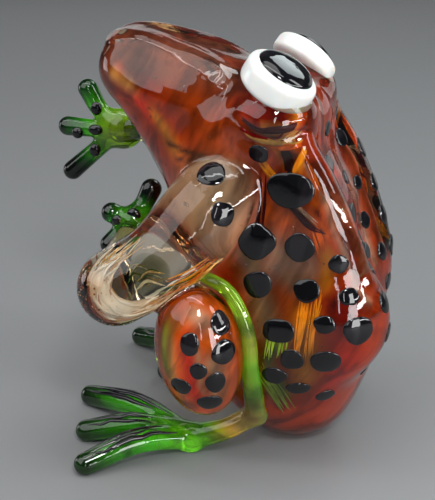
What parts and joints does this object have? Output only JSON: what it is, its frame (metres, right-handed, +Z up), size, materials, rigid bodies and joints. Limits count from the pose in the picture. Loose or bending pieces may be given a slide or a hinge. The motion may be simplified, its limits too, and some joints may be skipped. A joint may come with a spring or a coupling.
{
  "type": "glass frog figurine",
  "caption": "Lampworked glass frog figurine that sits upright on folded hind legs, with raised snout, bulging eyes, bent arms and long spread toes.",
  "frame": {"origin": "on the surface that the frog sits on, below the middle of its outer box", "axes": "+Z up, -Y towards the snout, +X towards the frog's own left side"},
  "size_m": [0.0296, 0.0366, 0.0386],
  "materials": {
    "amber_glass": "clear red-brown to orange glass, fire polished, darker on the back",
    "clear_glass": "nearly colourless glass with faint amber streaks, fire polished",
    "green_glass": "clear grass-green glass with black streaks, fire polished",
    "white_glass": "opaque white glass, fire polished",
    "black_glass": "opaque black glass, fire polished"
  },
  "bodies": {
    "root": {"torso": "amber_glass", "head": "amber_glass", "left_eye": "white_glass", "left_pupil": "black_glass", "right_eye": "white_glass", "right_pupil": "black_glass", "left_upper_arm": "clear_glass", "left_forearm": "clear_glass", "left_hand": "green_glass", "right_upper_arm": "clear_glass", "right_forearm": "clear_glass", "right_hand": "green_glass", "left_thigh": "amber_glass", "left_shank": "green_glass", "left_foot": "green_glass", "right_thigh": "amber_glass", "right_shank": "green_glass", "right_foot": "green_glass"}
  },
  "joints": []
}
